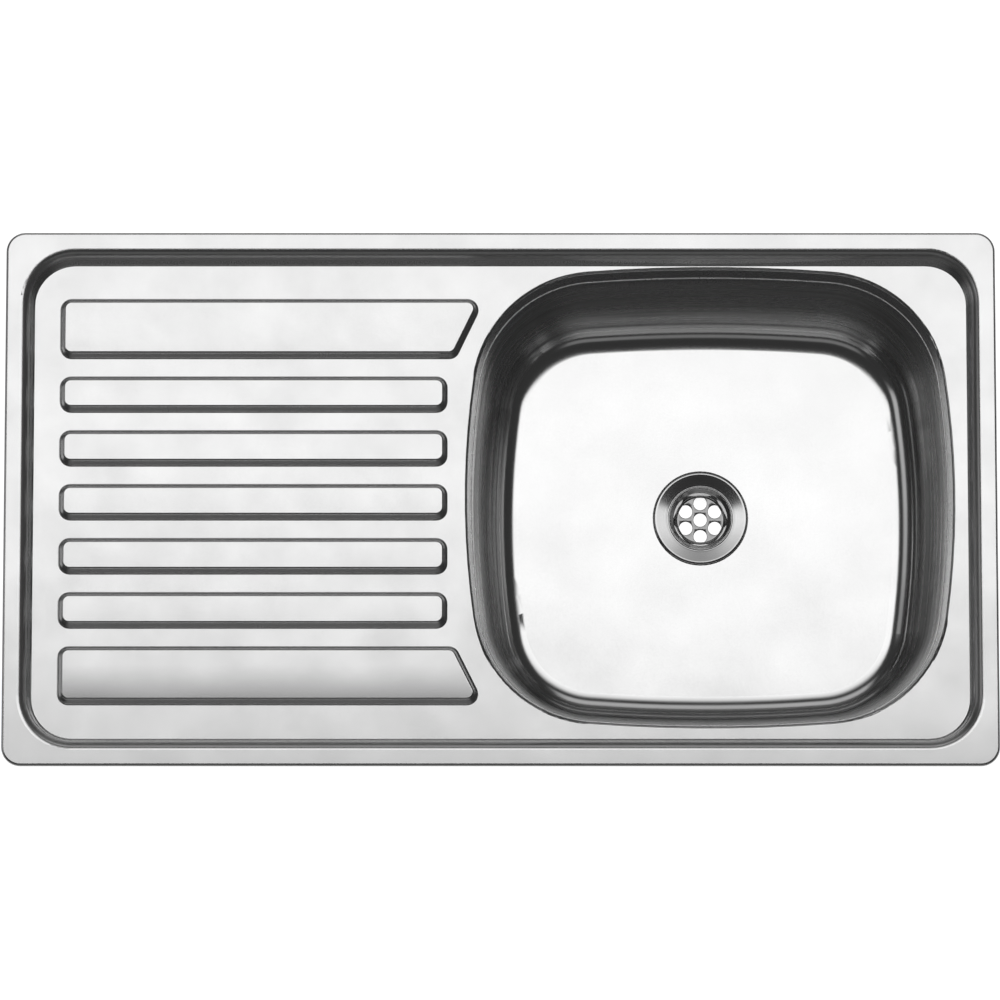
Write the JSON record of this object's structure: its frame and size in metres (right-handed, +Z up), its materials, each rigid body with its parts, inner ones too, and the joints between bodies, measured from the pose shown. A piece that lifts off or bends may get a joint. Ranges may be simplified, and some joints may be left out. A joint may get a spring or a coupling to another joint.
{
  "type": "kitchen sink with drainboard",
  "caption": "Inset kitchen sink in pressed steel: ribbed drainboard on the left, deep bowl with a flanged grid waste on the right, hinged screw clamps under the rim.",
  "frame": {"origin": "middle of the rim's gasket face, in the plane of the worktop's surface", "axes": "+X towards the bowl, along the longest side; +Y to the back; +Z up out of the worktop"},
  "size_m": [0.8, 0.435, 0.1952],
  "materials": {
    "deck_steel": "satin stainless steel with a fine even grain",
    "bowl_steel": "satin stainless steel, walls ground in lines along the rim, floor polished",
    "waste_steel": "polished stainless steel",
    "gasket_foam": "closed-cell black foam",
    "bitumen": "matt dark grey bitumen sheet",
    "rubber": "black rubber",
    "white_plastic": "off-white moulded plastic",
    "zinc": "zinc-plated mild steel"
  },
  "bodies": {
    "sink": {"drainboard_deck": "deck_steel", "bowl": "bowl_steel", "rim_gasket": "gasket_foam", "sound_pad_left": "bitumen", "sound_pad_right": "bitumen", "waste_body": "waste_steel", "flange_seal": "rubber", "rubber_washer": "rubber", "slip_ring": "white_plastic", "backnut": "white_plastic", "clamp_back_left_lug": "deck_steel", "clamp_back_left_pin": "zinc", "clamp_back_right_lug": "deck_steel", "clamp_back_right_pin": "zinc", "clamp_front_left_lug": "deck_steel", "clamp_front_left_pin": "zinc", "clamp_front_right_lug": "deck_steel", "clamp_front_right_pin": "zinc", "clamp_left_back_lug": "deck_steel", "clamp_left_back_pin": "zinc", "clamp_left_front_lug": "deck_steel", "clamp_left_front_pin": "zinc", "clamp_right_back_lug": "deck_steel", "clamp_right_back_pin": "zinc", "clamp_right_front_lug": "deck_steel", "clamp_right_front_pin": "zinc"},
    "clamp_back_left_arm": {"clamp_back_left_arm": "zinc"},
    "clamp_back_left_foot": {"clamp_back_left_foot": "rubber"},
    "clamp_back_left_screw": {"clamp_back_left_screw": "zinc"},
    "clamp_back_right_arm": {"clamp_back_right_arm": "zinc"},
    "clamp_back_right_foot": {"clamp_back_right_foot": "rubber"},
    "clamp_back_right_screw": {"clamp_back_right_screw": "zinc"},
    "clamp_front_left_arm": {"clamp_front_left_arm": "zinc"},
    "clamp_front_left_foot": {"clamp_front_left_foot": "rubber"},
    "clamp_front_left_screw": {"clamp_front_left_screw": "zinc"},
    "clamp_front_right_arm": {"clamp_front_right_arm": "zinc"},
    "clamp_front_right_foot": {"clamp_front_right_foot": "rubber"},
    "clamp_front_right_screw": {"clamp_front_right_screw": "zinc"},
    "clamp_left_back_arm": {"clamp_left_back_arm": "zinc"},
    "clamp_left_back_foot": {"clamp_left_back_foot": "rubber"},
    "clamp_left_back_screw": {"clamp_left_back_screw": "zinc"},
    "clamp_left_front_arm": {"clamp_left_front_arm": "zinc"},
    "clamp_left_front_foot": {"clamp_left_front_foot": "rubber"},
    "clamp_left_front_screw": {"clamp_left_front_screw": "zinc"},
    "clamp_right_back_arm": {"clamp_right_back_arm": "zinc"},
    "clamp_right_back_foot": {"clamp_right_back_foot": "rubber"},
    "clamp_right_back_screw": {"clamp_right_back_screw": "zinc"},
    "clamp_right_front_arm": {"clamp_right_front_arm": "zinc"},
    "clamp_right_front_foot": {"clamp_right_front_foot": "rubber"},
    "clamp_right_front_screw": {"clamp_right_front_screw": "zinc"}
  },
  "joints": [
    {"name": "clamp_back_left_swing", "type": "hinge", "parent": "sink", "child": "clamp_back_left_arm", "pos_m": [-0.25, 0.1855, -0.023], "axis": [1, 0, 0], "range_deg": [-4, 28.71]},
    {"name": "clamp_back_left_travel", "type": "slide", "parent": "clamp_back_left_arm", "child": "clamp_back_left_foot", "axis": [0, 0.4804, 0.877], "range_m": [0, 0.022]},
    {"name": "clamp_back_left_turn", "type": "hinge", "parent": "clamp_back_left_foot", "child": "clamp_back_left_screw", "pos_m": [-0.25, 0.19867, -0.06556], "axis": [0, 0.4804, 0.877], "range_deg": [0, 7920]},
    {"name": "clamp_back_right_swing", "type": "hinge", "parent": "sink", "child": "clamp_back_right_arm", "pos_m": [-0.0087, 0.1855, -0.023], "axis": [1, 0, 0], "range_deg": [-4, 28.71]},
    {"name": "clamp_back_right_travel", "type": "slide", "parent": "clamp_back_right_arm", "child": "clamp_back_right_foot", "axis": [0, 0.4804, 0.877], "range_m": [0, 0.022]},
    {"name": "clamp_back_right_turn", "type": "hinge", "parent": "clamp_back_right_foot", "child": "clamp_back_right_screw", "pos_m": [-0.0087, 0.19867, -0.06556], "axis": [0, 0.4804, 0.877], "range_deg": [0, 7920]},
    {"name": "clamp_front_left_swing", "type": "hinge", "parent": "sink", "child": "clamp_front_left_arm", "pos_m": [-0.25, -0.1855, -0.023], "axis": [-1, 0, 0], "range_deg": [-4, 28.71]},
    {"name": "clamp_front_left_travel", "type": "slide", "parent": "clamp_front_left_arm", "child": "clamp_front_left_foot", "axis": [0, -0.4804, 0.877], "range_m": [0, 0.022]},
    {"name": "clamp_front_left_turn", "type": "hinge", "parent": "clamp_front_left_foot", "child": "clamp_front_left_screw", "pos_m": [-0.25, -0.19867, -0.06556], "axis": [0, -0.4804, 0.877], "range_deg": [0, 7920]},
    {"name": "clamp_front_right_swing", "type": "hinge", "parent": "sink", "child": "clamp_front_right_arm", "pos_m": [-0.0087, -0.1855, -0.023], "axis": [-1, 0, 0], "range_deg": [-4, 28.71]},
    {"name": "clamp_front_right_travel", "type": "slide", "parent": "clamp_front_right_arm", "child": "clamp_front_right_foot", "axis": [0, -0.4804, 0.877], "range_m": [0, 0.022]},
    {"name": "clamp_front_right_turn", "type": "hinge", "parent": "clamp_front_right_foot", "child": "clamp_front_right_screw", "pos_m": [-0.0087, -0.19867, -0.06556], "axis": [0, -0.4804, 0.877], "range_deg": [0, 7920]},
    {"name": "clamp_left_back_swing", "type": "hinge", "parent": "sink", "child": "clamp_left_back_arm", "pos_m": [-0.368, 0.11, -0.023], "axis": [0, 1, 0], "range_deg": [-4, 28.71]},
    {"name": "clamp_left_back_travel", "type": "slide", "parent": "clamp_left_back_arm", "child": "clamp_left_back_foot", "axis": [-0.4804, 0, 0.877], "range_m": [0, 0.022]},
    {"name": "clamp_left_back_turn", "type": "hinge", "parent": "clamp_left_back_foot", "child": "clamp_left_back_screw", "pos_m": [-0.38117, 0.11, -0.06556], "axis": [-0.4804, 0, 0.877], "range_deg": [0, 7920]},
    {"name": "clamp_left_front_swing", "type": "hinge", "parent": "sink", "child": "clamp_left_front_arm", "pos_m": [-0.368, -0.11, -0.023], "axis": [0, 1, 0], "range_deg": [-4, 28.71]},
    {"name": "clamp_left_front_travel", "type": "slide", "parent": "clamp_left_front_arm", "child": "clamp_left_front_foot", "axis": [-0.4804, 0, 0.877], "range_m": [0, 0.022]},
    {"name": "clamp_left_front_turn", "type": "hinge", "parent": "clamp_left_front_foot", "child": "clamp_left_front_screw", "pos_m": [-0.38117, -0.11, -0.06556], "axis": [-0.4804, 0, 0.877], "range_deg": [0, 7920]},
    {"name": "clamp_right_back_swing", "type": "hinge", "parent": "sink", "child": "clamp_right_back_arm", "pos_m": [0.368, 0.15, -0.023], "axis": [0, -1, 0], "range_deg": [-4, 28.71]},
    {"name": "clamp_right_back_travel", "type": "slide", "parent": "clamp_right_back_arm", "child": "clamp_right_back_foot", "axis": [0.4804, 0, 0.877], "range_m": [0, 0.022]},
    {"name": "clamp_right_back_turn", "type": "hinge", "parent": "clamp_right_back_foot", "child": "clamp_right_back_screw", "pos_m": [0.38117, 0.15, -0.06556], "axis": [0.4804, 0, 0.877], "range_deg": [0, 7920]},
    {"name": "clamp_right_front_swing", "type": "hinge", "parent": "sink", "child": "clamp_right_front_arm", "pos_m": [0.368, -0.15, -0.023], "axis": [0, -1, 0], "range_deg": [-4, 28.71]},
    {"name": "clamp_right_front_travel", "type": "slide", "parent": "clamp_right_front_arm", "child": "clamp_right_front_foot", "axis": [0.4804, 0, 0.877], "range_m": [0, 0.022]},
    {"name": "clamp_right_front_turn", "type": "hinge", "parent": "clamp_right_front_foot", "child": "clamp_right_front_screw", "pos_m": [0.38117, -0.15, -0.06556], "axis": [0.4804, 0, 0.877], "range_deg": [0, 7920]}
  ],
  "couplings": [
    {"joint": "clamp_back_left_turn", "follows": "clamp_back_left_travel", "rad_per_m": 6283.2},
    {"joint": "clamp_back_right_turn", "follows": "clamp_back_right_travel", "rad_per_m": 6283.2},
    {"joint": "clamp_front_left_turn", "follows": "clamp_front_left_travel", "rad_per_m": 6283.2},
    {"joint": "clamp_front_right_turn", "follows": "clamp_front_right_travel", "rad_per_m": 6283.2},
    {"joint": "clamp_left_back_turn", "follows": "clamp_left_back_travel", "rad_per_m": 6283.2},
    {"joint": "clamp_left_front_turn", "follows": "clamp_left_front_travel", "rad_per_m": 6283.2},
    {"joint": "clamp_right_back_turn", "follows": "clamp_right_back_travel", "rad_per_m": 6283.2},
    {"joint": "clamp_right_front_turn", "follows": "clamp_right_front_travel", "rad_per_m": 6283.2}
  ]
}
